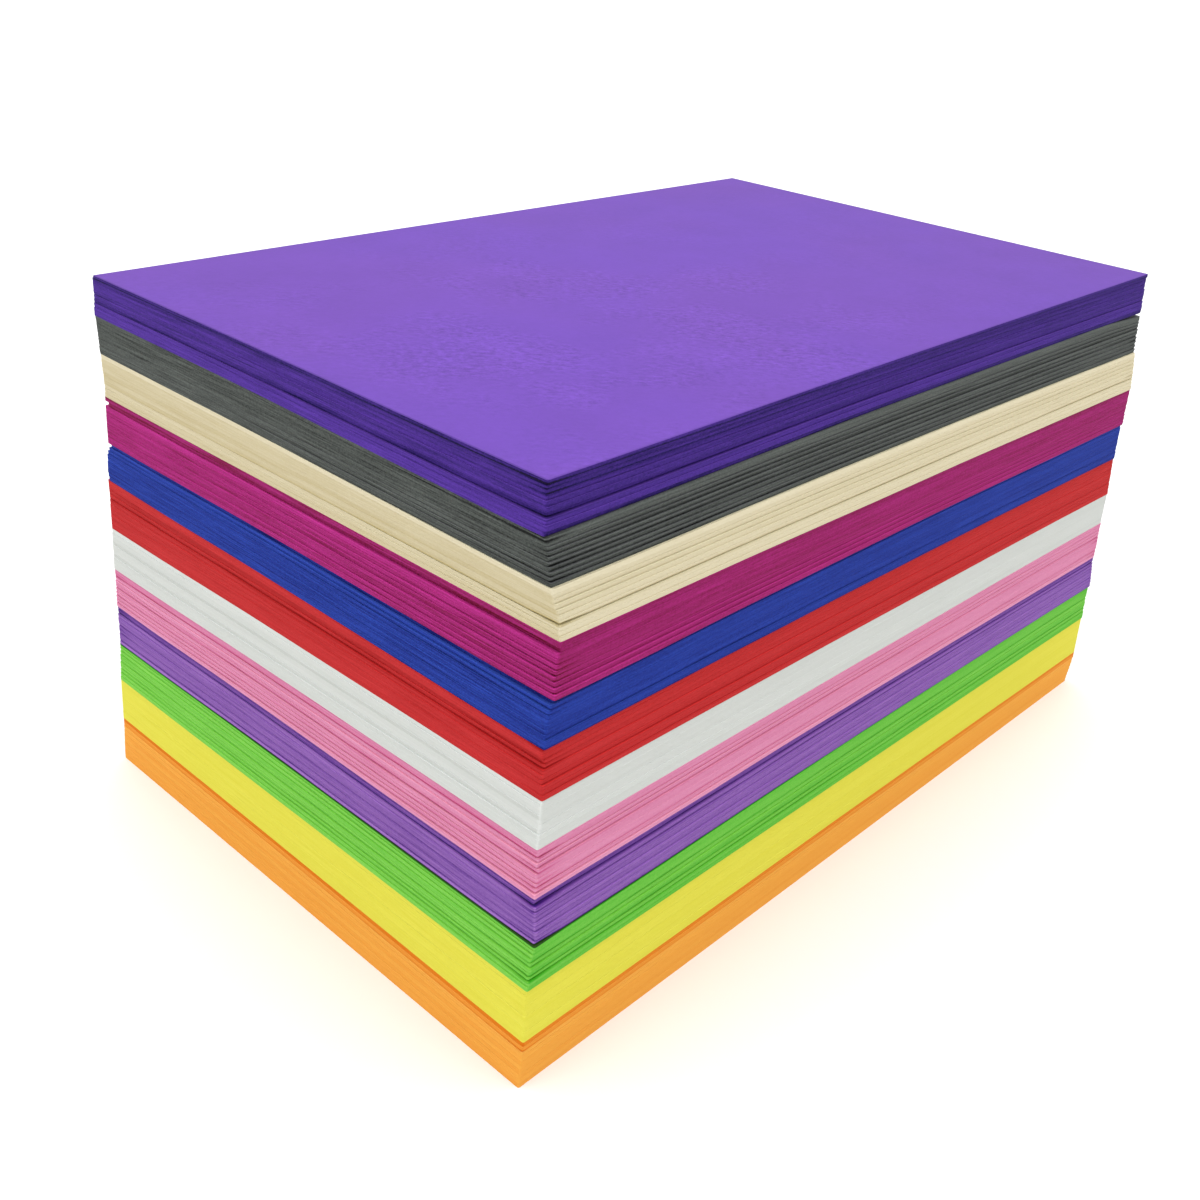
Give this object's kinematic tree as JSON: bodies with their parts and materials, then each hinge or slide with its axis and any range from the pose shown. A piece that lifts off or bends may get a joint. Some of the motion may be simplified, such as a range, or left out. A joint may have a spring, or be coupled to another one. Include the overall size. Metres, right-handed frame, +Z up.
{
  "type": "stack of craft foam sheets",
  "caption": "Neat flat stack of loose rectangular craft foam sheets in blocks of solid colour, cut edges showing on all four sides.",
  "frame": {"origin": "middle of the stack's plan, on the surface that it lies on", "axes": "+X along the sheets' long sides, +Y along their short sides, +Z up through the stack"},
  "size_m": [0.4328, 0.2892, 0.2405],
  "materials": {
    "purple_foam": "matt closed-cell foam",
    "grey_foam": "matt closed-cell foam",
    "cream_foam": "matt closed-cell foam",
    "magenta_foam": "matt closed-cell foam",
    "blue_foam": "matt closed-cell foam",
    "red_foam": "matt closed-cell foam",
    "white_foam": "matt closed-cell foam",
    "pink_foam": "matt closed-cell foam",
    "violet_foam": "matt closed-cell foam",
    "green_foam": "matt closed-cell foam",
    "yellow_foam": "matt closed-cell foam",
    "orange_foam": "matt closed-cell foam"
  },
  "bodies": {
    "root": {"purple_top_sheet": "purple_foam", "purple_sheets": "purple_foam", "grey_sheets": "grey_foam", "cream_sheets": "cream_foam", "magenta_sheets": "magenta_foam", "blue_sheets": "blue_foam", "red_sheets": "red_foam", "white_sheets": "white_foam", "pink_sheets": "pink_foam", "violet_sheets": "violet_foam", "green_sheets": "green_foam", "yellow_sheets": "yellow_foam", "orange_sheets": "orange_foam"}
  },
  "joints": []
}
